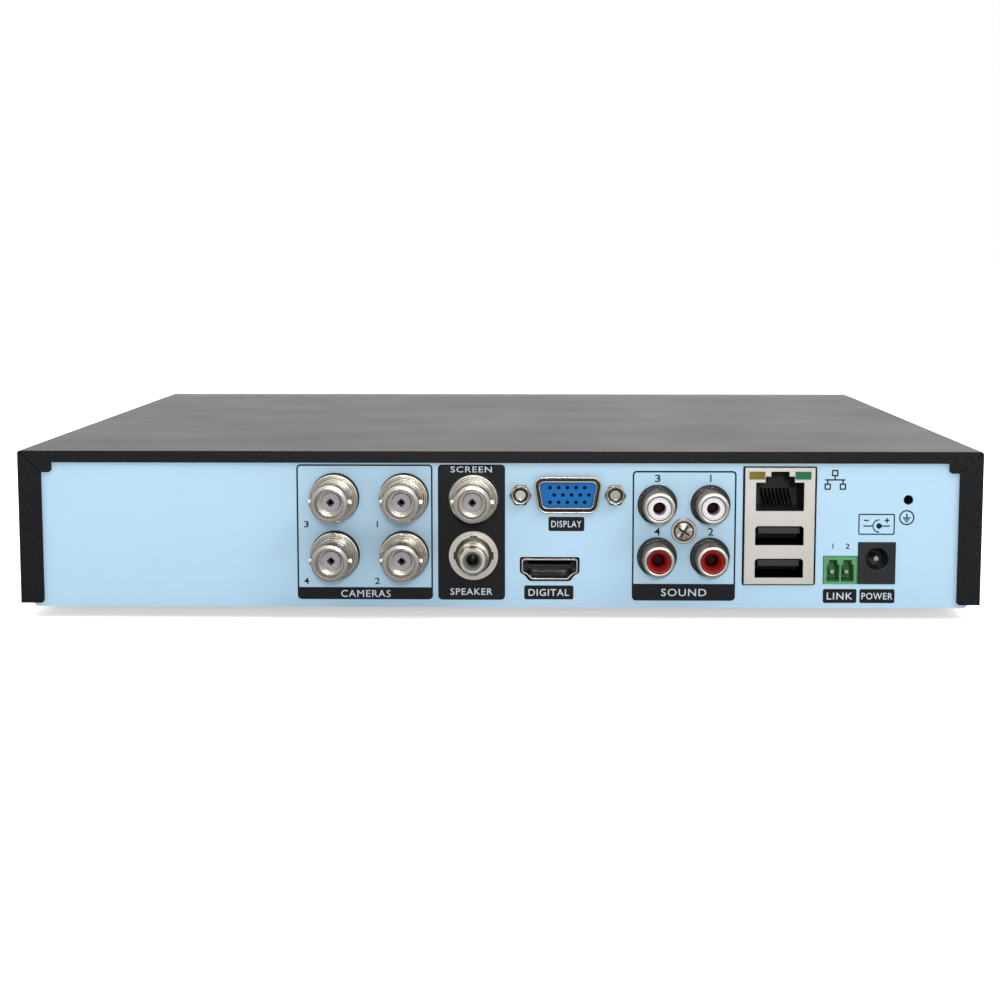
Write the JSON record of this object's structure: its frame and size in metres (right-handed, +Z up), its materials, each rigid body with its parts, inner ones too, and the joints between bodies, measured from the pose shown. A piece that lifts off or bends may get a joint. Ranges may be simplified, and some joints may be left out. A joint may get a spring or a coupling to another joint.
{
  "type": "video recorder",
  "caption": "Compact steel-cased video recorder with bayonet, phono, display and network jacks on a blue rear panel, a hard disk and a cooling fan.",
  "frame": {"origin": "centre of the overall box, jacks included, on the surface that the feet stand on", "axes": "+Z up; the connector panel faces -Y and the bezel faces +Y; +X is to the right when the panel is looked at from behind the case"},
  "size_m": [0.2582, 0.239, 0.045],
  "materials": {
    "bottom_chassis": "galvanised sheet",
    "top_cover": "black fine-texture powder coat",
    "rear_label": "pale blue screen print",
    "feet": "matt",
    "cover_screws": "black oxide",
    "front_bezel": "fine texture",
    "infrared_window": "dark red translucent",
    "light_pipes": "frosted clear",
    "front_board": "solder mask",
    "status_leds": "clear epoxy",
    "infrared_receiver": "moulded epoxy",
    "front_cable": "vinyl",
    "main_board": "solder mask",
    "board_standoffs": "nickel washed",
    "board_screws": "nickel plate",
    "processor": "moulded epoxy",
    "heat_sink": "black anodised",
    "chips": "moulded epoxy",
    "capacitors": "shrink sleeve",
    "inductors": "ferrite",
    "coin_cell": "nickel",
    "board_sockets": "nylon",
    "bayonet_jack_shells": "turned nickel",
    "jack_blocks": "moulded",
    "jack_insulators": "moulded",
    "jack_contacts": "gold flash",
    "sound_out_shell": "satin nickel",
    "phono_block": "moulded",
    "phono_barrels": "nickel",
    "white_inserts": "moulded",
    "red_inserts": "moulded",
    "panel_screw": "nickel",
    "display_socket_shell": "satin tin",
    "display_socket_insert": "moulded",
    "display_jackscrews": "nickel",
    "hd_socket_shell": "nickel",
    "hd_socket_tongue": "moulded",
    "jack_stack_shell": "satin nickel",
    "network_insert": "moulded",
    "network_contacts": "gold flash",
    "network_lights": "tinted epoxy",
    "data_socket_tongues": "moulded",
    "terminal_block": "moulded",
    "terminal_pins": "tin",
    "power_jack_body": "moulded",
    "power_jack_pin": "nickel",
    "drive_base": "die cast",
    "drive_lid": "brushed",
    "drive_lid_screws": "nickel",
    "platters": "mirror",
    "spindle_hub": "machined",
    "actuator_arm": "machined",
    "coil_magnets": "nickel",
    "drive_board": "solder mask",
    "drive_screws": "nickel",
    "data_cable": "vinyl",
    "power_cable": "vinyl",
    "fan_frame": "moulded",
    "fan_rotor": "moulded",
    "fan_parts": "steel screws and vinyl lead"
  },
  "bodies": {
    "case": {"bottom_chassis": "bottom_chassis", "top_cover": "top_cover", "rear_label": "rear_label", "feet": "feet", "cover_screws": "cover_screws", "front_bezel": "front_bezel", "infrared_window": "infrared_window", "light_pipes": "light_pipes", "front_board": "front_board", "status_leds": "status_leds", "infrared_receiver": "infrared_receiver", "front_cable": "front_cable", "main_board": "main_board", "board_standoffs": "board_standoffs", "board_screws": "board_screws", "processor": "processor", "heat_sink": "heat_sink", "chips": "chips", "capacitors": "capacitors", "inductors": "inductors", "coin_cell": "coin_cell", "board_sockets": "board_sockets", "bayonet_jack_shells": "bayonet_jack_shells", "jack_blocks": "jack_blocks", "jack_insulators": "jack_insulators", "jack_contacts": "jack_contacts", "sound_out_shell": "sound_out_shell", "phono_block": "phono_block", "phono_barrels": "phono_barrels", "white_inserts": "white_inserts", "red_inserts": "red_inserts", "panel_screw": "panel_screw", "display_socket_shell": "display_socket_shell", "display_socket_insert": "display_socket_insert", "display_jackscrews": "display_jackscrews", "hd_socket_shell": "hd_socket_shell", "hd_socket_tongue": "hd_socket_tongue", "jack_stack_shell": "jack_stack_shell", "network_insert": "network_insert", "network_contacts": "network_contacts", "network_lights": "network_lights", "data_socket_tongues": "data_socket_tongues", "terminal_block": "terminal_block", "terminal_pins": "terminal_pins", "power_jack_body": "power_jack_body", "power_jack_pin": "power_jack_pin", "drive_base": "drive_base", "drive_lid": "drive_lid", "drive_lid_screws": "drive_lid_screws", "coil_magnets": "coil_magnets", "drive_board": "drive_board", "drive_screws": "drive_screws", "data_cable": "data_cable", "power_cable": "power_cable", "fan_frame": "fan_frame", "fan_parts": "fan_parts"},
    "disk_stack": {"platters": "platters", "spindle_hub": "spindle_hub"},
    "head_arm": {"actuator_arm": "actuator_arm"},
    "fan_wheel": {"fan_rotor": "fan_rotor"}
  },
  "joints": [
    {"name": "platter_spin", "type": "hinge", "parent": "case", "child": "disk_stack", "pos_m": [-0.053, 0.04195, 0.019], "axis": [0, 0, 1], "continuous": true},
    {"name": "head_swing", "type": "hinge", "parent": "case", "child": "head_arm", "pos_m": [0.001, 0.05995, 0.019], "axis": [0, 0, -1], "range_deg": [0, 36]},
    {"name": "fan_spin", "type": "hinge", "parent": "case", "child": "fan_wheel", "pos_m": [-0.1207, -0.07145, 0.0235], "axis": [1, 0, 0], "continuous": true}
  ]
}
